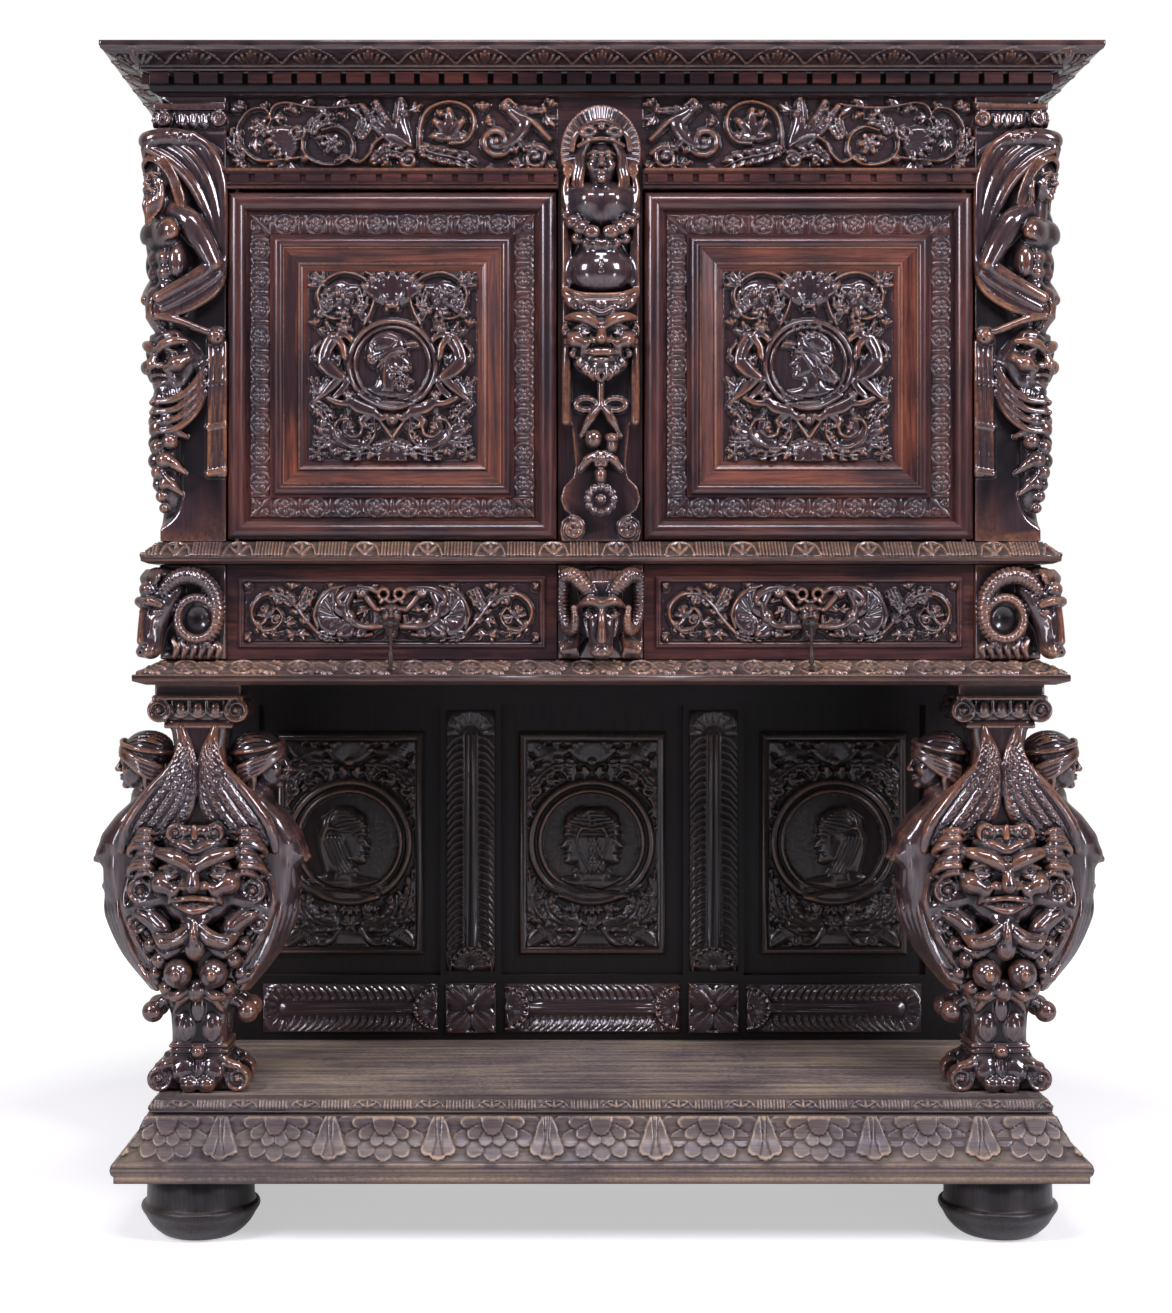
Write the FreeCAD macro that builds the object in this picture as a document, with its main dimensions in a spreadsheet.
import FreeCAD, Part
import math
import os
from types import SimpleNamespace

import Sketcher

# A carved Renaissance-style buffet: bun feet, a moulded base with an open shelf, two carved
# supports in front of a panelled back, a stage with two drawers, and a two-door cabinet
# under a cornice. X runs to the right, Y to the back and Z up, from the floor's centre.

Vector = FreeCAD.Vector
Rotation = FreeCAD.Rotation
doc = FreeCAD.newDocument("Buffet")

# Driving dimensions in millimetres, one cell each.
SIZES = {
    # heights of the stages, from the floor up
    "foot_height": 103,
    "base_height": 92,
    "shelf_thickness": 22,
    "support_height": 629,
    "drawer_ledge_thickness": 38,
    "drawer_stage_height": 145,
    "waist_ledge_thickness": 34,
    "cabinet_height": 676,
    "cornice_height": 65,
    # plan of the case, and how far each moulding stands out from it
    "case_width": 1338,
    "case_depth": 483,
    "cornice_overhang": 77,
    "base_overhang": 64,
    "shelf_overhang": 14,
    "drawer_ledge_overhang": 36,
    "waist_ledge_overhang": 25,
    # bun feet
    "foot_diameter": 176,
    "foot_neck_diameter": 158,
    "foot_contact_diameter": 84,
    "foot_ridge_level": 58,
    "foot_ridge_thickness": 7,
    "foot_swell": 13,
    "foot_inset": 118,
    # moulded base rails
    "base_rail_width": 190,
    "base_fillet_height": 10,
    "base_torus_height": 22,
    "base_torus_relief": 5,
    "base_step": 4,
    "base_slope_run": 48,
    "base_slope_hollow": 4,
    # edges of the shelf and of the two ledges
    "lip_width": 62,
    "shelf_undercut": 7,
    "shelf_undercut_rise": 5,
    "shelf_nose": 5,
    "shelf_slope_run": 9,
    "drawer_ledge_undercut": 18,
    "drawer_ledge_undercut_rise": 6,
    "drawer_ledge_nose": 7,
    "drawer_ledge_slope_run": 46,
    "waist_ledge_undercut": 10,
    "waist_ledge_undercut_rise": 4,
    "waist_ledge_nose": 8,
    "waist_ledge_slope_run": 29,
    "slope_hollow": 2.5,
    # panelled back of the lower stage
    "back_frame_thickness": 34,
    "back_stile_width": 92,
    "back_muntin_width": 105,
    "back_top_rail_height": 49,
    "back_bottom_rail_height": 112,
    "back_panel_thickness": 12,
    "back_panel_setback": 14,
    "back_field_relief": 8,
    "back_field_side_margin": 29,
    "back_field_top_margin": 48,
    "back_field_bottom_margin": 34,
    "panel_tongue": 9,
    "tenon_length": 34,
    "tenon_thickness": 11,
    # carved supports
    "support_inset": 51,
    "support_setback": 38,
    "support_thickness": 104,
    "support_half_width": 120,
    "support_mask_width": 150,
    "support_mask_height": 190,
    "support_mask_relief": 46,
    "sphinx_reach": 162,
    "sphinx_thickness": 92,
    # drawer stage
    "centre_block_width": 130,
    "corner_block_depth": 44,
    "case_side_thickness": 22,
    "back_board_thickness": 20,
    "divider_thickness": 22,
    "guide_height": 40,
    "ram_relief": 44,
    "ram_side_reach": 30,
    # drawers
    "drawer_gap": 1.5,
    "drawer_running_gap": 0.3,
    "drawer_front_setback": 4,
    "drawer_front_thickness": 22,
    "drawer_bead_inset": 17,
    "drawer_bead_width": 9,
    "drawer_bead_relief": 5,
    "drawer_side_thickness": 12,
    "drawer_side_height": 112,
    "drawer_back_gap": 24,
    "drawer_bottom_thickness": 8,
    "drawer_bottom_level": 8,
    "drawer_groove": 5,
    "crest_width": 96,
    "crest_height": 60,
    "crest_relief": 16,
    "crest_drop": 2,
    # drop pulls
    "pull_plate_diameter": 24,
    "pull_plate_thickness": 3,
    "pull_shank_diameter": 7,
    "pull_shank_length": 12,
    "pull_pin_diameter": 5,
    "pull_pin_length": 18,
    "pull_pin_play": 0.05,
    "pull_eye_diameter": 12,
    "pull_eye_width": 7,
    "pull_rod_diameter": 6,
    "pull_knob_diameter": 12,
    "pull_length": 66,
    "pull_drop": 18,
    # cabinet
    "post_width": 100,
    "post_depth": 90,
    "frieze_height": 112,
    "frieze_thickness": 33,
    "frieze_setback": 10,
    "lintel_height": 30,
    "lintel_thickness": 52,
    "lintel_relief": 10,
    "centre_stile_width": 128,
    "centre_stile_depth": 40,
    "centre_stile_setback": 12,
    "side_rail_height": 80,
    "side_stile_width": 70,
    "side_panel_thickness": 10,
    "cabinet_shelf_thickness": 20,
    "cabinet_shelf_rise": 262,
    "cabinet_shelf_setback": 70,
    "shelf_bearer_height": 24,
    "shelf_bearer_width": 18,
    "top_board_thickness": 18,
    "cornice_seat": 60,
    # herms
    "herm_top_gap": 50,
    "herm_rise": 54,
    "herm_relief": 44,
    "herm_side_reach": 26,
    "centre_herm_width": 116,
    "centre_herm_relief": 46,
    "centre_herm_top_gap": 36,
    "centre_herm_board": 14,
    # doors
    "door_gap": 3,
    "door_setback": 36,
    "door_board": 24,
    "door_frame_width": 113,
    "door_torus_width": 28,
    "door_torus_base": 34,
    "door_torus_swell": 11,
    "door_groove_width": 6,
    "door_groove_level": 31,
    "door_band_width": 30,
    "door_band_level": 33,
    "door_fillet_width": 6,
    "door_fillet_level": 36,
    "door_bead_width": 13,
    "door_bead_level": 40,
    "door_bead_swell": 3,
    "door_slope_level": 38,
    "door_slope_foot": 27,
    "door_panel_thickness": 12,
    "door_panel_level": 9,
    "door_field_margin": 6,
    "door_field_level": 29,
    "pivot_diameter": 8,
    "pivot_seat": 40,
    "pivot_reach": 15,
    "pivot_play": 0.05,
    # lock of the right-hand door
    "lock_width": 62,
    "lock_height": 56,
    "lock_thickness": 14,
    "lock_edge": 6,
    "bolt_width": 8,
    "bolt_height": 14,
    "bolt_length": 44,
    "bolt_play": 0.3,
    "bolt_throw": 16,
    "bolt_mortise_depth": 14,
    "keyhole_diameter": 8,
    "keyhole_slot_width": 4,
    "keyhole_slot_height": 13,
    "keyhole_plate_width": 20,
    "keyhole_plate_height": 38,
    "keyhole_plate_thickness": 2,
    # cornice profile, from the bed moulding up
    "bed_rise": 14,
    "bed_run": 15,
    "bed_swell": 3,
    "dentil_band_rise": 19,
    "dentil_band_run": 12,
    "corona_rise": 7,
    "corona_run": 9,
    "cyma_rise": 18,
    "cyma_swell": 3,
    # one overrun serves every cut
    "overrun": 5,
}


class Size:
    """A length that is both a number and the sheet expression that gives it."""

    def __init__(self, value, text):
        self.value = float(value)
        self.text = text

    @staticmethod
    def of(other):
        return other if isinstance(other, Size) else Size(other, repr(other))

    def join(self, sign, other, value):
        return Size(value, f"({self.text} {sign} {other.text})")

    def __add__(self, other):
        other = Size.of(other)
        return self.join("+", other, self.value + other.value)

    def __radd__(self, other):
        return Size.of(other) + self

    def __sub__(self, other):
        other = Size.of(other)
        return self.join("-", other, self.value - other.value)

    def __rsub__(self, other):
        return Size.of(other) - self

    def __mul__(self, other):
        other = Size.of(other)
        return self.join("*", other, self.value * other.value)

    def __rmul__(self, other):
        return Size.of(other) * self

    def __truediv__(self, other):
        other = Size.of(other)
        return self.join("/", other, self.value / other.value)

    def __neg__(self):
        return Size(-self.value, f"(-1 * {self.text})")

    def __float__(self):
        return self.value


def fill_sheet():
    sheet = doc.addObject("Spreadsheet::Sheet", "Sizes")
    for row, (name, value) in enumerate(SIZES.items(), start=1):
        sheet.set(f"A{row}", str(value))
        sheet.setAlias(f"A{row}", name)
    doc.recompute()
    return SimpleNamespace(**{name: Size(sheet.get(name), f"Sizes.{name}") for name in SIZES})


s = fill_sheet()
SIDES = (("left", -1), ("right", 1))
NODES = {}

# Levels from the floor up, and the planes of the case
shelf_bottom = s.foot_height + s.base_height
shelf_top = shelf_bottom + s.shelf_thickness
ledge_bottom = shelf_top + s.support_height
ledge_top = ledge_bottom + s.drawer_ledge_thickness
waist_bottom = ledge_top + s.drawer_stage_height
waist_top = waist_bottom + s.waist_ledge_thickness
cabinet_top = waist_top + s.cabinet_height
frieze_bottom = cabinet_top - s.frieze_height
lintel_bottom = frieze_bottom - s.lintel_height
case_side = s.case_width / 2
case_front = (s.cornice_overhang - s.case_depth) / 2
case_back = case_front + s.case_depth
post_inner = case_side - s.post_width
herm_height = s.cabinet_height - s.herm_rise - s.herm_top_gap
centre_herm_height = s.cabinet_height - s.centre_herm_top_gap


def bind(obj, **values):
    """Ties properties of a document object to the sheet."""
    for name, value in values.items():
        tie(obj, name, value)


def tie(obj, path, value):
    obj.setExpression(path, Size.of(value).text)


def place(obj, x=0, y=0, z=0, turn=None):
    if turn:
        obj.Placement = FreeCAD.Placement(Vector(), turn)
    for axis, value in zip("xyz", (x, y, z)):
        tie(obj, f"Placement.Base.{axis}", value)
    return obj


def keep(label, obj):
    """Names a finished sub-part, which gets a file of its own."""
    obj.Label = label
    NODES[label] = obj
    return obj


def side_span(sign, inner, outer):
    return (inner, outer) if sign > 0 else (-outer, -inner)


# Primitives and booleans


def board(name, x, y, z):
    box = doc.addObject("Part::Box", name)
    bind(box, Length=x[1] - x[0], Width=y[1] - y[0], Height=z[1] - z[0])
    return place(box, x[0], y[0], z[0])


def rod(name, radius, length, at, turn=None):
    cylinder = doc.addObject("Part::Cylinder", name)
    bind(cylinder, Radius=radius, Height=length)
    return place(cylinder, *at, turn=turn)


def lump(name, at, radii):
    """A carved swelling: an ellipsoid with its three half sizes along X, Y and Z and its seam at the back."""
    ellipsoid = doc.addObject("Part::Ellipsoid", name)
    ellipsoid.Angle1, ellipsoid.Angle2, ellipsoid.Angle3 = -90, 90, 360
    bind(ellipsoid, Radius1=radii[2], Radius2=radii[1], Radius3=radii[0])
    return place(ellipsoid, *at, turn=Rotation(Vector(0, 0, 1), 90))


def fuse(name, parts):
    if len(parts) == 1:
        return parts[0]
    whole = doc.addObject("Part::MultiFuse", name)
    whole.Shapes = parts
    return whole


def group(name, parts):
    compound = doc.addObject("Part::Compound", name)
    compound.Links = parts
    return compound


def cut(name, base, *tools):
    remainder = doc.addObject("Part::Cut", name)
    remainder.Base = base
    remainder.Tool = tools[0] if len(tools) == 1 else group(name + "_tools", list(tools))
    return remainder


# Sketched pieces


def origin_plane(body, role):
    return next(f for f in body.Origin.OriginFeatures if f.Role == role)


def edge_between(start, end, bulge):
    """A straight edge, or an arc that bulges to the left of travel by its sagitta."""
    p = Vector(float(start[0]), float(start[1]))
    q = Vector(float(end[0]), float(end[1]))
    if bulge is None:
        return Part.LineSegment(p, q), True
    chord = q - p
    left = Vector(-chord.y, chord.x).normalize()
    sagitta = float(bulge)
    radius = (chord.Length**2 / 4 + sagitta**2) / (2 * abs(sagitta))
    forward = sagitta < 0
    centre = (p + q) / 2 + left * (sagitta + math.copysign(radius, -sagitta))
    first, last = (p, q) if forward else (q, p)
    angles = [math.atan2(point.y - centre.y, point.x - centre.x) for point in (first, last)]
    return Part.ArcOfCircle(Part.Circle(centre, Vector(0, 0, 1), radius), *angles), forward


def pin_to_axes(sketch, geometry, end, point):
    """Holds a sketch point at its two distances from the axes."""
    for kind, axis, value in (("DistanceX", -2, point[0]), ("DistanceY", -1, point[1])):
        value = Size.of(value)
        if value.text == "0":
            sketch.addConstraint(Sketcher.Constraint("PointOnObject", geometry, end, axis))
            continue
        index = sketch.addConstraint(Sketcher.Constraint(kind, -1, 1, geometry, end, value.value))
        tie(sketch, f"Constraints[{index}]", value)


def draw_outline(body, name, role, outlines):
    """A sketch of closed outlines. A point is (across, up), with the sagitta of the arc that leads on from it."""
    sketch = body.newObject("Sketcher::SketchObject", name)
    sketch.AttachmentSupport = [(origin_plane(body, role), "")]
    sketch.MapMode = "FlatFace"
    for points in outlines:
        ends = []
        for index, point in enumerate(points):
            following = points[(index + 1) % len(points)]
            bulge = Size.of(point[2]) if len(point) > 2 else None
            edge, forward = edge_between(point, following, bulge)
            geometry = sketch.addGeometry(edge)
            ends.append((geometry, 1 if forward else 2, 2 if forward else 1))
            if bulge is not None:
                across, up = following[0] - point[0], following[1] - point[1]
                depth = bulge if bulge.value > 0 else -bulge
                radius = ((across * across + up * up) / 4 + depth * depth) / (2 * depth)
                mark = sketch.addConstraint(Sketcher.Constraint("Radius", geometry, radius.value))
                tie(sketch, f"Constraints[{mark}]", radius)
        for index, (geometry, start, _) in enumerate(ends):
            before, _, end = ends[index - 1]
            sketch.addConstraint(Sketcher.Constraint("Coincident", before, end, geometry, start))
            pin_to_axes(sketch, geometry, start, points[index])
    return sketch


def moulding(name, profile, length, width, mitres):
    """A moulded length along X, with its outer edge at Y 0, the profile rising in Z and 45-degree mitred ends."""
    body = doc.addObject("PartDesign::Body", name)
    pad = body.newObject("PartDesign::Pad", name + "_run")
    pad.Profile = draw_outline(body, name + "_profile", "YZ_Plane", [profile])
    pad.SideType = "Symmetric"
    bind(pad, Length=length)
    if mitres:
        past = s.overrun
        outlines = [
            [
                (sign * (length / 2 + past), -past),
                (sign * (length / 2 - width - past), width + past),
                (sign * (length / 2 + past), width + past),
            ]
            for sign in mitres
        ]
        doc.recompute()
        pocket = body.newObject("PartDesign::Pocket", name + "_mitres")
        pocket.Profile = draw_outline(body, name + "_mitre_lines", "XY_Plane", outlines)
        pocket.SideType = "Symmetric"
        pocket.Type = "ThroughAll"
    return body


def around_case(name, profile, overhang, level, width):
    """The same moulding along the front and both sides of the case, mitred at the front corners."""
    front_y = case_front - overhang
    front = moulding(name + "_front", profile, 2 * (case_side + overhang), width, (-1, 1))
    place(front, 0, front_y, level)
    pieces = [front]
    run = s.case_depth + overhang
    for side, sign in SIDES:
        piece = moulding(f"{name}_{side}", profile, run, width, (-sign,))
        turn = Rotation(Vector(0, 0, 1), 90 * sign)
        pieces.append(place(piece, sign * (case_side + overhang), front_y + run / 2, level, turn))
    return pieces


def framed_opening(name, profile, width, centre_x, back_y, low_z, high_z, span_x):
    """Four mitred lengths round an upright opening, their backs at one plane and their faces to the front."""
    lean = Rotation(Vector(1, 0, 0), 90)
    height = high_z - low_z
    runs = (
        ("bottom", span_x, 0, (centre_x, back_y, low_z)),
        ("top", span_x, 180, (centre_x, back_y, high_z)),
        ("left", height, 90, (centre_x - span_x / 2, back_y, low_z + height / 2)),
        ("right", height, -90, (centre_x + span_x / 2, back_y, low_z + height / 2)),
    )
    pieces = []
    for edge, length, angle, at in runs:
        piece = moulding(f"{name}_{edge}", profile, length, width, (-1, 1))
        pieces.append(place(piece, *at, turn=Rotation(Vector(0, 1, 0), angle) * lean))
    return pieces


# Feet, base and shelf


def bun_foot(name, x, y):
    body = doc.addObject("PartDesign::Body", name)
    ridge_top = s.foot_ridge_level + s.foot_ridge_thickness
    outline = [
        (0, 0),
        (s.foot_contact_diameter / 2, 0, -s.foot_swell),
        (s.foot_diameter / 2, s.foot_ridge_level),
        (s.foot_diameter / 2, ridge_top),
        (s.foot_neck_diameter / 2, s.foot_height),
        (0, s.foot_height),
    ]
    turned = body.newObject("PartDesign::Revolution", name + "_turning")
    sketch = draw_outline(body, name + "_outline", "XZ_Plane", [outline])
    turned.Profile = sketch
    turned.ReferenceAxis = (sketch, ["V_Axis"])
    return place(body, x, y)


def make_feet():
    foot_x = case_side + s.base_overhang - s.foot_inset
    rows = {"front": case_front - s.base_overhang + s.foot_inset, "back": case_back - s.foot_inset}
    feet = [bun_foot(f"foot_{row}_{side}", sign * foot_x, y) for row, y in rows.items() for side, sign in SIDES]
    keep("bun_feet", group("bun_feet", feet))


def make_base():
    torus_top = s.base_fillet_height + s.base_torus_height
    profile = [
        (s.base_torus_relief, 0),
        (s.base_torus_relief, s.base_fillet_height, s.base_torus_relief),
        (s.base_torus_relief, torus_top),
        (s.base_torus_relief + s.base_step, torus_top, -s.base_slope_hollow),
        (s.base_slope_run, s.base_height),
        (s.base_rail_width, s.base_height),
        (s.base_rail_width, 0),
    ]
    front, left, right = around_case("base", profile, s.base_overhang, s.foot_height, s.base_rail_width)
    keep("base_front_moulding", front)
    keep("base_side_mouldings", group("base_sides", [left, right]))
    inner = case_side + s.base_overhang - s.base_rail_width
    back_rail = board(
        "base_back_rail",
        (-inner, inner),
        (case_back - s.case_side_thickness, case_back),
        (s.foot_height, shelf_bottom),
    )
    keep("base_back_rail", back_rail)


def ledge(name, overhang, level, thickness, undercut, undercut_rise, nose, slope_run):
    """A board with a moulded lip mitred round its front and sides: undercut, nose and hollow slope."""
    profile = [
        (undercut, 0),
        (0, undercut_rise),
        (0, undercut_rise + nose, -s.slope_hollow),
        (slope_run, thickness),
        (s.lip_width, thickness),
        (s.lip_width, 0),
    ]
    lips = around_case(name, profile, overhang, level, s.lip_width)
    inner = case_side + overhang - s.lip_width
    core = board(
        name + "_core",
        (-inner, inner),
        (case_front - overhang + s.lip_width, case_back),
        (level, level + thickness),
    )
    return lips, core


def make_ledges():
    lips, core = ledge(
        "shelf",
        s.shelf_overhang,
        shelf_bottom,
        s.shelf_thickness,
        s.shelf_undercut,
        s.shelf_undercut_rise,
        s.shelf_nose,
        s.shelf_slope_run,
    )
    keep("shelf_board", group("shelf", [core, *lips]))
    lips, core = ledge(
        "drawer_ledge",
        s.drawer_ledge_overhang,
        ledge_bottom,
        s.drawer_ledge_thickness,
        s.drawer_ledge_undercut,
        s.drawer_ledge_undercut_rise,
        s.drawer_ledge_nose,
        s.drawer_ledge_slope_run,
    )
    keep("drawer_ledge", group("drawer_ledge", [core, *lips]))
    (front, left, right), core = ledge(
        "waist_ledge",
        s.waist_ledge_overhang,
        waist_bottom,
        s.waist_ledge_thickness,
        s.waist_ledge_undercut,
        s.waist_ledge_undercut_rise,
        s.waist_ledge_nose,
        s.waist_ledge_slope_run,
    )
    sockets = [pivot_socket(f"waist_socket_{side}", sign, waist_top - s.pivot_reach) for side, sign in SIDES]
    bored = cut("waist_front_bored", front, *sockets)
    keep("waist_ledge", group("waist_ledge", [core, bored, left, right]))


# Panelled back of the lower stage


def make_back():
    front = case_back - s.back_frame_thickness
    depth = (front, case_back)
    stile_inner = case_side - s.back_stile_width
    bay = (2 * stile_inner - 2 * s.back_muntin_width) / 3
    muntin_inner = bay / 2
    rail_low = shelf_top + s.back_bottom_rail_height
    rail_high = ledge_bottom - s.back_top_rail_height
    tenon_y = front + (s.back_frame_thickness - s.tenon_thickness) / 2
    tenon_depth = (tenon_y, tenon_y + s.tenon_thickness)
    tenon_x = stile_inner + s.tenon_length
    levels = {"top": (rail_high, ledge_bottom), "bottom": (shelf_top, rail_low)}
    panel_y = front + s.back_panel_setback
    panel_depth = (panel_y, panel_y + s.back_panel_thickness)
    field_depth = (panel_y - s.back_field_relief, panel_y)
    panels = {}
    for name, place_in_row in (("left", -1), ("centre", 0), ("right", 1)):
        middle = place_in_row * (bay + s.back_muntin_width)
        sheet = board(
            f"back_panel_{name}_sheet",
            (middle - bay / 2 - s.panel_tongue, middle + bay / 2 + s.panel_tongue),
            panel_depth,
            (rail_low - s.panel_tongue, rail_high + s.panel_tongue),
        )
        margin = bay / 2 - s.back_field_side_margin
        field = board(
            f"back_panel_{name}_field",
            (middle - margin, middle + margin),
            field_depth,
            (rail_low + s.back_field_bottom_margin, rail_high - s.back_field_top_margin),
        )
        panels[name] = sheet
        keep(f"back_panel_{name}", fuse(f"back_panel_{name}_whole", [sheet, field]))
    tenons = []
    for level, span in levels.items():
        rail = board(f"back_{level}_rail_body", (-stile_inner, stile_inner), depth, span)
        tongue = board(f"back_{level}_rail_tenons", (-tenon_x, tenon_x), tenon_depth, span)
        tenons.append(tongue)
        whole = fuse(f"back_{level}_rail_whole", [rail, tongue])
        keep(f"back_{level}_rail", cut(f"back_{level}_rail_grooved", whole, *panels.values()))
    uprights = []
    for side, sign in SIDES:
        stile = board(
            f"back_stile_{side}",
            side_span(sign, stile_inner, case_side),
            depth,
            (shelf_top, ledge_bottom),
        )
        muntin = board(
            f"back_muntin_{side}",
            side_span(sign, muntin_inner, muntin_inner + s.back_muntin_width),
            depth,
            (rail_low, rail_high),
        )
        uprights.append(cut(f"back_stile_{side}_mortised", stile, *tenons, panels[side]))
        uprights.append(cut(f"back_muntin_{side}_grooved", muntin, panels["centre"], panels[side]))
    keep("back_uprights", group("back_uprights", uprights))


# How deep a carved swelling's centre lies behind the face it stands on, as a share of its relief
SINK_SHARE = 0.12

# Carved supports. The outline of one half runs up from the shelf, in shares of the half width and height.

SUPPORT_LEG_SHARES = ((0.62, 0.0), (0.66, 0.05), (0.36, 0.095), (0.36, 0.12), (0.5, 0.19), (0.42, 0.24))
SUPPORT_VASE_SHARES = ((0.42, 0.24), (0.86, 0.335), (1.0, 0.46), (0.86, 0.6), (0.6, 0.7), (0.42, 0.8), (0.44, 0.905))
SUPPORT_CAPITAL_SHARES = ((0.44, 0.915), (0.66, 0.92), (0.66, 0.962), (0.5, 0.967), (0.5, 1.0))
# Sphinx busts: head, neck, breast and flank, as (out, up, half width, half height) in shares of the reach and height
SPHINX_SHARES = (
    (0.55, 0.815, 0.26, 0.083),
    (0.57, 0.715, 0.2, 0.07),
    (0.76, 0.585, 0.24, 0.085),
    (0.66, 0.45, 0.22, 0.13),
)
MASK_SHARES = ((0.0, 0.15, 0.5, 0.4), (0.0, -0.38, 0.3, 0.3))


def support_block(half_width, height, thickness):
    """The sawn block of one support: leg, vase and capital in one outline, with its front face at Y 0."""

    def points(shares, sign):
        return [Vector(sign * across * half_width, 0, up * height) for across, up in shares]

    def half(sign):
        leg = points(SUPPORT_LEG_SHARES, sign)
        capital = points(SUPPORT_CAPITAL_SHARES, sign)
        vase = Part.BSplineCurve()
        vase.interpolate(points(SUPPORT_VASE_SHARES, sign))
        edges = [Part.LineSegment(a, b).toShape() for a, b in zip(leg, leg[1:])]
        edges.append(vase.toShape())
        neck = points(SUPPORT_VASE_SHARES[-1:], sign)
        edges += [Part.LineSegment(a, b).toShape() for a, b in zip(neck + capital, capital)]
        return edges, leg[0], capital[-1]

    right, right_foot, right_top = half(1)
    left, left_foot, left_top = half(-1)
    closing = [Part.LineSegment(left_foot, right_foot).toShape(), Part.LineSegment(right_top, left_top).toShape()]
    wire = Part.Wire(Part.__sortEdges__(right + left + closing))
    return Part.Face(wire).extrude(Vector(0, thickness, 0))


def make_supports():
    block_front = case_front + s.support_setback
    for side, sign in SIDES:
        middle = sign * (case_side - s.support_inset)
        block = doc.addObject("Part::Feature", f"support_{side}")
        block.Shape = support_block(float(s.support_half_width), float(s.support_height), float(s.support_thickness))
        place(block, middle, block_front, shelf_top)
        keep(f"support_{side}", block)
        bust_y = block_front + s.support_thickness / 2
        busts = []
        for way, facing in SIDES:
            lumps = [
                lump(
                    f"sphinx_{side}_{way}_{index}",
                    (middle + facing * out * s.sphinx_reach, bust_y, shelf_top + up * s.support_height),
                    (wide * s.sphinx_reach, s.sphinx_thickness / 2, tall * s.support_height),
                )
                for index, (out, up, wide, tall) in enumerate(SPHINX_SHARES)
            ]
            bust = fuse(f"sphinx_{side}_{way}_bust", lumps)
            busts.append(cut(f"sphinx_{side}_{way}", bust, block))
        keep(f"sphinxes_{side}", group(f"sphinxes_{side}", busts))
        mask_level = shelf_top + s.support_height / 2
        features = [
            lump(
                f"mask_{side}_{index}",
                (
                    middle + across * s.support_mask_width,
                    block_front + SINK_SHARE * s.support_mask_relief,
                    mask_level + up * s.support_mask_height,
                ),
                (wide * s.support_mask_width, s.support_mask_relief, tall * s.support_mask_height),
            )
            for index, (across, up, wide, tall) in enumerate(MASK_SHARES)
        ]
        mask = cut(f"support_{side}_mask_face", fuse(f"support_{side}_mask_lumps", features), block)
        keep(f"support_{side}_mask", mask)


# Drawer stage

# Ram's heads: skull, horn and muzzle at a corner, and skull, two horns and muzzle in the middle, in shares
CORNER_RAM_SHARES = ((0.78, 0.58, 0.4, 0.36), (0.5, 0.5, 0.36, 0.4), (0.98, 0.4, 0.28, 0.3))
CENTRE_RAM_SHARES = ((0.0, 0.6, 0.24, 0.34), (-0.28, 0.62, 0.16, 0.28), (0.28, 0.62, 0.16, 0.28), (0.0, 0.34, 0.15, 0.3))


def make_drawer_case():
    stage = (ledge_top, waist_bottom)
    block_depth = (case_front, case_front + s.corner_block_depth)
    behind = (case_front + s.corner_block_depth, case_back - s.back_board_thickness)
    sides = []
    guide_boards = []
    reach = s.post_width + s.ram_side_reach
    for side, sign in SIDES:
        sides.append(
            board(
                f"drawer_case_{side}",
                side_span(sign, case_side - s.case_side_thickness, case_side),
                behind,
                stage,
            )
        )
        block = board(f"ram_block_{side}", side_span(sign, post_inner, case_side), block_depth, stage)
        lumps = [
            lump(
                f"ram_{side}_{index}",
                (
                    sign * (case_side + s.ram_side_reach - (1 - out) * reach - wide * s.ram_side_reach),
                    case_front + SINK_SHARE * s.ram_relief,
                    ledge_top + up * s.drawer_stage_height,
                ),
                (wide * s.post_width, s.ram_relief, tall * s.drawer_stage_height),
            )
            for index, (out, up, wide, tall) in enumerate(CORNER_RAM_SHARES)
        ]
        behind_block = board(
            f"ram_clear_{side}",
            side_span(sign, post_inner, case_side + s.ram_relief),
            (block_depth[1], block_depth[1] + s.ram_relief),
            stage,
        )
        inside_block = board(
            f"ram_trim_{side}",
            side_span(sign, post_inner - s.ram_relief, post_inner),
            (case_front - s.ram_relief - s.overrun, block_depth[1]),
            stage,
        )
        head = fuse(f"ram_head_{side}_block", [block, *lumps])
        keep(f"ram_head_{side}", cut(f"ram_head_{side}_trimmed", head, behind_block, inside_block))
        guides = (
            (s.divider_thickness / 2, s.centre_block_width / 2),
            (post_inner, case_side - s.case_side_thickness),
        )
        for index, (inner, outer) in enumerate(guides):
            guide_boards.append(
                board(
                    f"drawer_guide_{side}_{index}",
                    side_span(sign, inner, outer),
                    behind,
                    (ledge_top, ledge_top + s.guide_height),
                )
            )
    keep("drawer_case_sides", group("drawer_case_sides", sides))
    keep("drawer_guides", group("drawer_guides", guide_boards))
    keep(
        "drawer_case_back",
        board("drawer_case_back", (-case_side, case_side), (behind[1], case_back), stage),
    )
    half = s.divider_thickness / 2
    keep("drawer_divider", board("drawer_divider", (-half, half), behind, stage))
    block_half = s.centre_block_width / 2
    block = board("ram_block_centre", (-block_half, block_half), block_depth, stage)
    lumps = [
        lump(
            f"ram_centre_{index}",
            (
                across * s.centre_block_width,
                case_front + SINK_SHARE * s.ram_relief,
                ledge_top + up * s.drawer_stage_height,
            ),
            (wide * s.centre_block_width, s.ram_relief, tall * s.drawer_stage_height),
        )
        for index, (across, up, wide, tall) in enumerate(CENTRE_RAM_SHARES)
    ]
    behind_block = board(
        "ram_clear_centre",
        (-s.centre_block_width, s.centre_block_width),
        (block_depth[1], block_depth[1] + s.ram_relief),
        stage,
    )
    head = fuse("ram_centre_block", [block, *lumps])
    keep("ram_mask_centre", cut("ram_mask_centre_trimmed", head, behind_block))


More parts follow.
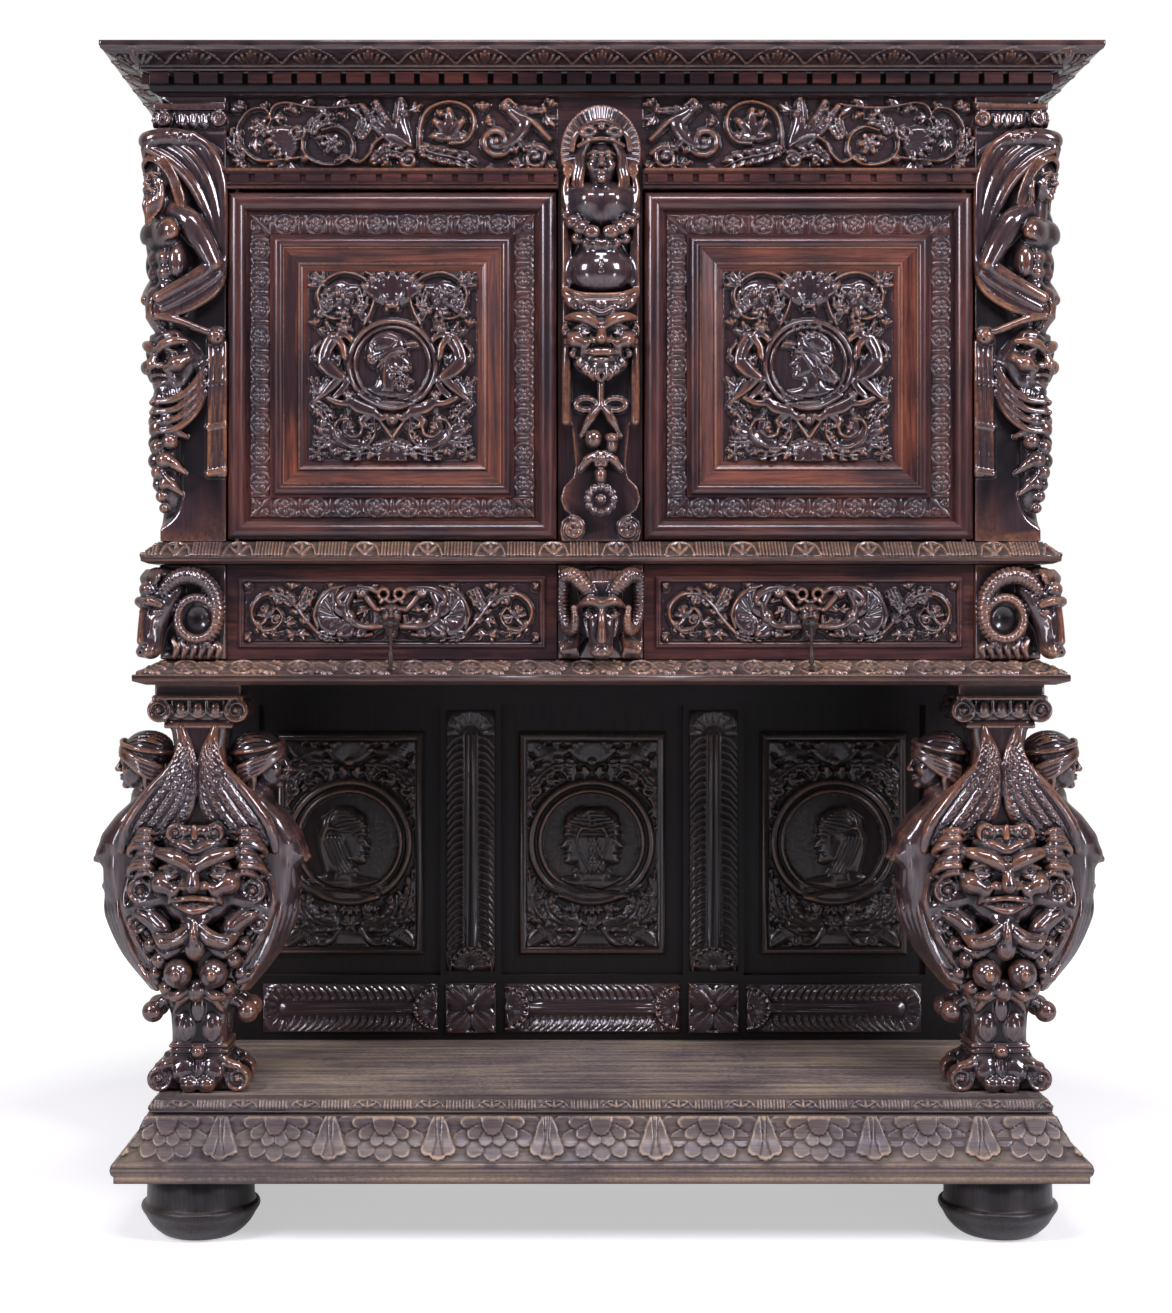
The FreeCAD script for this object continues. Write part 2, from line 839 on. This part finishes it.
def make_drawer(side, sign):
    inner = s.centre_block_width / 2 + s.drawer_gap
    outer = post_inner - s.drawer_gap
    span = side_span(sign, inner, outer)
    middle = sign * (inner + outer) / 2
    low = ledge_top + s.drawer_running_gap
    high = waist_bottom - s.drawer_gap
    face = case_front + s.drawer_front_setback
    rear = face + s.drawer_front_thickness
    front = board(f"drawer_{side}_face", span, (face, rear), (low, high))
    bead_profile = [
        (0, 0),
        (0, s.drawer_bead_relief / 2, s.drawer_bead_relief / 2),
        (s.drawer_bead_width, s.drawer_bead_relief / 2),
        (s.drawer_bead_width, 0),
    ]
    beads = framed_opening(
        f"drawer_{side}_bead",
        bead_profile,
        s.drawer_bead_width,
        middle,
        face,
        low + s.drawer_bead_inset,
        high - s.drawer_bead_inset,
        outer - inner - 2 * s.drawer_bead_inset,
    )
    side_top = low + s.drawer_side_height
    box_back = case_back - s.back_board_thickness - s.drawer_back_gap
    walls = {
        "inner_side": side_span(sign, inner, inner + s.drawer_side_thickness),
        "outer_side": side_span(sign, outer - s.drawer_side_thickness, outer),
    }
    floor_level = low + s.drawer_bottom_level
    floor = board(
        f"drawer_{side}_floor",
        side_span(
            sign,
            inner + s.drawer_side_thickness - s.drawer_groove,
            outer - s.drawer_side_thickness + s.drawer_groove,
        ),
        (rear - s.drawer_groove, box_back),
        (floor_level, floor_level + s.drawer_bottom_thickness),
    )
    pieces = [floor]
    for name, wall_span in walls.items():
        wall = board(f"drawer_{side}_{name}", wall_span, (rear, box_back), (low, side_top))
        pieces.append(cut(f"drawer_{side}_{name}_grooved", wall, floor))
    pieces.append(
        board(
            f"drawer_{side}_end",
            side_span(sign, inner + s.drawer_side_thickness, outer - s.drawer_side_thickness),
            (box_back - s.drawer_side_thickness, box_back),
            (floor_level + s.drawer_bottom_thickness, side_top),
        )
    )
    grooved = cut(f"drawer_{side}_face_grooved", front, floor)
    keep(f"drawer_{side}_front", group(f"drawer_{side}_front", [grooved, *beads]))
    keep(f"drawer_{side}_box", group(f"drawer_{side}_box", pieces))
    make_pull(side, middle, face, (low + high) / 2)


def make_pull(side, middle, face, level):
    """The carved crest in the middle of a drawer, and the iron drop that swings on a pin in front of it."""
    crest_low = level - s.crest_drop - s.crest_height / 2
    crest_front = face - s.crest_relief
    half = s.crest_width / 2
    crest = board(
        f"drawer_{side}_crest_block",
        (middle - half, middle + half),
        (crest_front, face),
        (crest_low, crest_low + s.crest_height),
    )
    keep(f"drawer_{side}_crest", crest)
    forward = Rotation(Vector(1, 0, 0), 90)
    across = Rotation(Vector(0, 1, 0), 90)
    pin_level = level - s.pull_drop
    plate_front = crest_front - s.pull_plate_thickness
    pin_y = plate_front - s.pull_shank_length
    plate = rod(
        f"pull_{side}_plate",
        s.pull_plate_diameter / 2,
        s.pull_plate_thickness,
        (middle, crest_front, pin_level),
        forward,
    )
    arms = []
    arm_inset = (s.pull_pin_length - s.pull_eye_width) / 4
    for way, sign in SIDES:
        offset = sign * (s.pull_pin_length / 2 - arm_inset)
        arms.append(
            rod(
                f"pull_{side}_arm_{way}",
                s.pull_pin_diameter / 2,
                s.pull_shank_length,
                (middle + offset, plate_front, pin_level),
                forward,
            )
        )
    pin = rod(
        f"pull_{side}_pin",
        s.pull_pin_diameter / 2,
        s.pull_pin_length,
        (middle - s.pull_pin_length / 2, pin_y, pin_level),
        across,
    )
    keep(f"drawer_{side}_pull_plate", fuse(f"pull_{side}_bracket", [plate, *arms, pin]))
    eye = rod(
        f"pull_{side}_eye",
        s.pull_eye_diameter / 2,
        s.pull_eye_width,
        (middle - s.pull_eye_width / 2, pin_y, pin_level),
        across,
    )
    bore = rod(
        f"pull_{side}_bore",
        s.pull_pin_diameter / 2 + s.pull_pin_play,
        s.pull_eye_width + 2 * s.overrun,
        (middle - s.pull_eye_width / 2 - s.overrun, pin_y, pin_level),
        across,
    )
    stem_top = (s.pull_pin_diameter + s.pull_eye_diameter) / 4
    knob_top = s.pull_length - 2 * s.pull_knob_diameter
    stem = [
        (0, -stem_top),
        (s.pull_rod_diameter / 2, -stem_top),
        (s.pull_rod_diameter / 3, -s.pull_length / 2),
        (s.pull_rod_diameter / 2, -knob_top, s.pull_knob_diameter / 6),
        (s.pull_rod_diameter / 3, -s.pull_length + s.pull_knob_diameter / 3),
        (s.pull_knob_diameter / 2, -s.pull_length),
        (0, -s.pull_length),
    ]
    body = doc.addObject("PartDesign::Body", f"pull_{side}_stem")
    turned = body.newObject("PartDesign::Revolution", f"pull_{side}_turning")
    sketch = draw_outline(body, f"pull_{side}_outline", "XZ_Plane", [stem])
    turned.Profile = sketch
    turned.ReferenceAxis = (sketch, ["V_Axis"])
    place(body, middle, pin_y, pin_level)
    drop = fuse(f"pull_{side}_whole", [eye, body])
    keep(f"drawer_{side}_pull", cut(f"pull_{side}_bored", drop, bore))


# Cabinet

# Corner herm: hood, head, torso, arms, mask and garland, as (out, up, half width, half height) in shares
HERM_SHARES = (
    (0.5, 0.955, 0.36, 0.04),
    (0.78, 0.85, 0.3, 0.085),
    (0.62, 0.72, 0.38, 0.13),
    (0.58, 0.6, 0.44, 0.08),
    (0.68, 0.44, 0.34, 0.12),
    (0.62, 0.2, 0.3, 0.19),
)
# Centre herm: headdress, head, bust, waist, mask, drop and scroll foot, as (up, half width, half height) in shares
CENTRE_HERM_SHARES = (
    (0.915, 0.5, 0.08),
    (0.85, 0.2, 0.08),
    (0.73, 0.4, 0.09),
    (0.62, 0.36, 0.085),
    (0.48, 0.42, 0.1),
    (0.22, 0.24, 0.1),
)
# Outline of the tapered board behind the centre herm, as (half width, up) in shares
CENTRE_BOARD_SHARES = ((0.46, 0.0), (0.46, 0.16), (0.34, 0.26), (0.42, 0.45), (0.42, 0.8))


def make_corner_posts():
    reach = s.post_width + s.herm_side_reach
    for side, sign in SIDES:
        post = board(
            f"corner_post_{side}",
            side_span(sign, post_inner, case_side),
            (case_front, case_front + s.post_depth),
            (waist_top, cabinet_top),
        )
        keep(f"corner_post_{side}", post)
        lumps = [
            lump(
                f"herm_{side}_{index}",
                (
                    sign * (post_inner + out * reach - s.overrun),
                    case_front + SINK_SHARE * s.herm_relief,
                    waist_top + s.herm_rise + up * herm_height,
                ),
                (wide * s.post_width, s.herm_relief, tall * herm_height),
            )
            for index, (out, up, wide, tall) in enumerate(HERM_SHARES)
        ]
        inner_trim = board(
            f"herm_trim_{side}",
            side_span(sign, post_inner - s.post_width, post_inner + s.overrun),
            (case_front - s.herm_relief - s.overrun, case_front + s.post_depth),
            (waist_top, cabinet_top),
        )
        figure = fuse(f"herm_{side}_figure", lumps)
        keep(f"herm_{side}", cut(f"herm_{side}_seated", figure, post, inner_trim))


def make_centre_stile():
    half = s.centre_stile_width / 2
    front = case_front + s.centre_stile_setback
    stile = board(
        "centre_stile_body",
        (-half, half),
        (front, front + s.centre_stile_depth),
        (waist_top, frieze_bottom),
    )
    keep("centre_stile", cut("centre_stile_mortised", stile, bolt_mortise()))
    profile = [(wide * s.centre_herm_width, up * centre_herm_height) for wide, up in CENTRE_BOARD_SHARES]
    outline = profile + [(-across, up) for across, up in reversed(profile)]
    body = doc.addObject("PartDesign::Body", "centre_herm_board")
    pad = body.newObject("PartDesign::Pad", "centre_herm_board_pad")
    pad.Profile = draw_outline(body, "centre_herm_outline", "XZ_Plane", [outline])
    bind(pad, Length=s.centre_herm_board)
    place(body, 0, front, waist_top)
    board_front = front - s.centre_herm_board
    lumps = [
        lump(
            f"centre_herm_{index}",
            (0, board_front + SINK_SHARE * s.centre_herm_relief, waist_top + up * centre_herm_height),
            (wide * s.centre_herm_width, s.centre_herm_relief, tall * centre_herm_height),
        )
        for index, (up, wide, tall) in enumerate(CENTRE_HERM_SHARES)
    ]
    trim = board(
        "centre_herm_trim",
        (-s.centre_herm_width, s.centre_herm_width),
        (front, front + s.centre_herm_relief),
        (waist_top, cabinet_top),
    )
    upper_trim = board(
        "centre_herm_frieze_trim",
        (-s.centre_herm_width, s.centre_herm_width),
        (case_front + s.frieze_setback, front),
        (frieze_bottom, cabinet_top),
    )
    figure = fuse("centre_herm_figure", [body, *lumps])
    keep("centre_herm", cut("centre_herm_seated", figure, trim, upper_trim))


def make_cabinet_case():
    post_back = case_front + s.post_depth
    back_front = case_back - s.back_board_thickness
    height = (waist_top, cabinet_top)
    side_depth = (post_back, back_front)
    shelf_level = waist_top + s.cabinet_shelf_rise
    panel_inset = (s.case_side_thickness - s.side_panel_thickness) / 2
    for side, sign in SIDES:
        wall = side_span(sign, case_side - s.case_side_thickness, case_side)
        panel = board(
            f"cabinet_{side}_panel",
            side_span(
                sign,
                case_side - s.case_side_thickness + panel_inset,
                case_side - panel_inset,
            ),
            (post_back, back_front - s.side_stile_width + s.panel_tongue),
            (waist_top + s.side_rail_height - s.panel_tongue, cabinet_top - s.side_rail_height + s.panel_tongue),
        )
        stile_y = back_front - s.side_stile_width
        rails = [
            board(f"cabinet_{side}_low_rail", wall, (post_back, stile_y), (waist_top, waist_top + s.side_rail_height)),
            board(f"cabinet_{side}_high_rail", wall, (post_back, stile_y), (cabinet_top - s.side_rail_height, cabinet_top)),
            board(f"cabinet_{side}_stile", wall, (stile_y, back_front), height),
        ]
        bearer = board(
            f"cabinet_{side}_bearer",
            side_span(
                sign,
                case_side - s.case_side_thickness - s.shelf_bearer_width,
                case_side - s.case_side_thickness,
            ),
            side_depth,
            (shelf_level - s.shelf_bearer_height, shelf_level),
        )
        grooved = [cut(f"cabinet_{side}_frame_{index}", rail, panel) for index, rail in enumerate(rails)]
        keep(f"cabinet_{side}_side", group(f"cabinet_{side}_side", [panel, bearer, *grooved]))
    inner = case_side - s.case_side_thickness
    shelf = board(
        "cabinet_shelf",
        (-inner, inner),
        (case_front + s.post_depth, back_front),
        (shelf_level, shelf_level + s.cabinet_shelf_thickness),
    )
    keep("cabinet_shelf", shelf)
    plank_count = 5
    plank = s.case_width / plank_count
    planks = [
        board(
            f"cabinet_back_plank_{index}",
            (-case_side + index * plank, -case_side + (index + 1) * plank),
            (back_front, case_back),
            height,
        )
        for index in range(plank_count)
    ]
    keep("cabinet_back", group("cabinet_back", planks))
    frieze_front = case_front + s.frieze_setback
    frieze = board(
        "frieze_rail",
        (-post_inner, post_inner),
        (frieze_front, frieze_front + s.frieze_thickness),
        (frieze_bottom, cabinet_top),
    )
    keep("frieze_rail", frieze)
    lintels = []
    for side, sign in SIDES:
        lintel = board(
            f"door_lintel_{side}_body",
            side_span(sign, s.centre_stile_width / 2, post_inner),
            (case_front - s.lintel_relief, case_front - s.lintel_relief + s.lintel_thickness),
            (lintel_bottom, frieze_bottom),
        )
        lintels.append(cut(f"door_lintel_{side}", lintel, pivot_socket(f"lintel_socket_{side}", sign, lintel_bottom)))
    keep("door_lintels", group("door_lintels", lintels))


def make_cornice():
    bed_top = s.bed_rise
    band_top = bed_top + s.dentil_band_rise
    corona_top = band_top + s.corona_rise
    cyma_top = corona_top + s.cyma_rise
    band_in = s.cornice_overhang - s.bed_run
    corona_in = band_in - s.dentil_band_run
    cyma_in = corona_in - s.corona_run
    width = s.cornice_overhang + s.cornice_seat
    profile = [
        (s.cornice_overhang, 0, s.bed_swell),
        (band_in, bed_top),
        (band_in, band_top),
        (corona_in, band_top),
        (corona_in, corona_top),
        (cyma_in, corona_top, -s.cyma_swell),
        (cyma_in / 2, corona_top + s.cyma_rise / 2, s.cyma_swell),
        (0, cyma_top),
        (0, s.cornice_height),
        (width, s.cornice_height),
        (width, 0),
    ]
    front, left, right = around_case("cornice", profile, s.cornice_overhang, cabinet_top, width)
    keep("cornice_front", front)
    keep("cornice_sides", group("cornice_sides", [left, right]))
    inner = case_side - s.cornice_seat
    keep(
        "top_board",
        board(
            "top_board",
            (-inner, inner),
            (case_front + s.cornice_seat, case_back),
            (cabinet_top, cabinet_top + s.top_board_thickness),
        ),
    )


# Doors, which turn on upright pins let into the waist ledge and the lintels

door_inner = s.centre_stile_width / 2 + s.door_gap
door_outer = post_inner - s.door_gap
door_low = waist_top + s.door_gap
door_high = lintel_bottom - s.door_gap
door_back = case_front + s.door_setback
pivot_x = door_outer - s.door_torus_width / 2
pivot_y = door_back - s.door_torus_base
lock_level = (door_low + door_high) / 2


def pivot_socket(name, sign, low):
    return rod(
        name,
        s.pivot_diameter / 2 + s.pivot_play,
        s.pivot_reach + s.overrun,
        (sign * pivot_x, pivot_y, low),
    )


def bolt_mortise():
    """The hole in the centre stile that the lock's bolt is thrown into."""
    bolt_y = door_back + (s.lock_thickness - s.bolt_width) / 2
    half = s.centre_stile_width / 2
    return board(
        "bolt_mortise",
        (half - s.bolt_mortise_depth, half + s.overrun),
        (bolt_y - s.bolt_play, bolt_y + s.bolt_width + s.bolt_play),
        (lock_level - s.bolt_height / 2 - s.bolt_play, lock_level + s.bolt_height / 2 + s.bolt_play),
    )


def door_profile():
    """Section of a door's frame from its outer edge inward: torus, groove, carved band, fillet, bead and slope."""
    torus_in = s.door_torus_width
    groove_in = torus_in + s.door_groove_width
    band_in = groove_in + s.door_band_width
    fillet_in = band_in + s.door_fillet_width
    bead_in = fillet_in + s.door_bead_width
    return [
        (0, 0),
        (0, s.door_torus_base, s.door_torus_swell),
        (torus_in, s.door_torus_base),
        (torus_in, s.door_groove_level),
        (groove_in, s.door_groove_level),
        (groove_in, s.door_band_level),
        (band_in, s.door_band_level),
        (band_in, s.door_fillet_level),
        (fillet_in, s.door_fillet_level),
        (fillet_in, s.door_bead_level, s.door_bead_swell),
        (bead_in, s.door_bead_level),
        (bead_in, s.door_slope_level),
        (s.door_frame_width, s.door_slope_foot),
        (s.door_frame_width, 0),
    ]


def make_door(side, sign):
    middle = sign * (door_inner + door_outer) / 2
    width = door_outer - door_inner
    pieces = framed_opening(
        f"door_{side}",
        door_profile(),
        s.door_frame_width,
        middle,
        door_back,
        door_low,
        door_high,
        width,
    )
    half = width / 2 - s.door_frame_width
    panel_back = door_back - s.door_panel_level
    sheet = board(
        f"door_{side}_panel_sheet",
        (middle - half - s.panel_tongue, middle + half + s.panel_tongue),
        (panel_back - s.door_panel_thickness, panel_back),
        (door_low + s.door_frame_width - s.panel_tongue, door_high - s.door_frame_width + s.panel_tongue),
    )
    field_half = half - s.door_field_margin
    field = board(
        f"door_{side}_panel_field",
        (middle - field_half, middle + field_half),
        (door_back - s.door_field_level, panel_back - s.door_panel_thickness),
        (
            door_low + s.door_frame_width + s.door_field_margin,
            door_high - s.door_frame_width - s.door_field_margin,
        ),
    )
    keep(f"door_{side}_panel", fuse(f"door_{side}_panel_whole", [sheet, field]))
    length = s.pivot_seat + s.pivot_reach
    pins = [
        rod(f"pivot_{side}_low", s.pivot_diameter / 2, length, (sign * pivot_x, pivot_y, waist_top - s.pivot_reach)),
        rod(f"pivot_{side}_high", s.pivot_diameter / 2, length, (sign * pivot_x, pivot_y, lintel_bottom - s.pivot_seat)),
    ]
    keep(f"door_{side}_pivots", group(f"door_{side}_pivots", pins))
    frame = group(f"door_{side}_lengths", pieces)
    tools = [sheet, *pins]
    if sign > 0:
        tools += make_lock()
    keep(f"door_{side}_frame", cut(f"door_{side}_frame_bored", frame, *tools))


def make_lock():
    """The lock on the inside of the right-hand door, its bolt and its keyhole plate. Returns the keyhole's cutters."""
    depth = (door_back, door_back + s.lock_thickness)
    inner = door_inner + s.lock_edge
    bolt_y = door_back + (s.lock_thickness - s.bolt_width) / 2
    bolt_z = (lock_level - s.bolt_height / 2, lock_level + s.bolt_height / 2)
    case = board(
        "lock_case_body",
        (inner, inner + s.lock_width),
        depth,
        (lock_level - s.lock_height / 2, lock_level + s.lock_height / 2),
    )
    channel = board(
        "lock_channel",
        (inner - s.overrun, inner + s.bolt_length + s.bolt_play),
        (bolt_y - s.bolt_play, bolt_y + s.bolt_width + s.bolt_play),
        (bolt_z[0] - s.bolt_play, bolt_z[1] + s.bolt_play),
    )
    keep("lock_case", cut("lock_case_hollowed", case, channel))
    bolt = board("lock_bolt", (inner, inner + s.bolt_length), (bolt_y, bolt_y + s.bolt_width), bolt_z)
    keep("lock_bolt", bolt)
    key_x = door_inner + s.door_torus_width + s.door_groove_width + s.door_band_width / 2
    band_y = door_back - s.door_band_level
    plate = board(
        "keyhole_plate_body",
        (key_x - s.keyhole_plate_width / 2, key_x + s.keyhole_plate_width / 2),
        (band_y - s.keyhole_plate_thickness, band_y),
        (lock_level - s.keyhole_plate_height / 2, lock_level + s.keyhole_plate_height / 2),
    )
    forward = Rotation(Vector(1, 0, 0), 90)
    depth_of_hole = s.door_band_level + s.keyhole_plate_thickness + s.overrun
    hole = rod(
        "keyhole_round",
        s.keyhole_diameter / 2,
        depth_of_hole,
        (key_x, door_back, lock_level + s.keyhole_slot_height / 2),
        forward,
    )
    slot = board(
        "keyhole_slot",
        (key_x - s.keyhole_slot_width / 2, key_x + s.keyhole_slot_width / 2),
        (door_back - depth_of_hole, door_back),
        (lock_level - s.keyhole_slot_height / 2, lock_level + s.keyhole_slot_height / 2),
    )
    keyhole = fuse("keyhole", [hole, slot])
    keep("keyhole_plate", cut("keyhole_plate_pierced", plate, keyhole))
    return [keyhole]


def build():
    make_feet()
    make_base()
    make_ledges()
    make_back()
    make_supports()
    make_drawer_case()
    for side, sign in SIDES:
        make_drawer(side, sign)
    make_corner_posts()
    make_centre_stile()
    make_cabinet_case()
    make_cornice()
    for side, sign in SIDES:
        make_door(side, sign)
    doc.recompute()


def check():
    """Stops before anything is written if an object failed or a sub-part has no sound solid."""
    failed = [o.Name for o in doc.Objects if {"Invalid", "Error"} & set(o.State)]
    unsound = [n for n, o in NODES.items() if o.Shape.isNull() or not o.Shape.isValid() or not o.Shape.Solids]
    if failed or unsound:
        raise RuntimeError(f"failed objects {failed}, unsound sub-parts {unsound}")


def export():
    os.makedirs("parts", exist_ok=True)
    for label, obj in NODES.items():
        obj.Shape.exportStep(os.path.join("parts", label + ".step"))
        print(label, len(obj.Shape.Solids), "solids", round(obj.Shape.Volume / 1000), "cm3")


build()
check()
export()
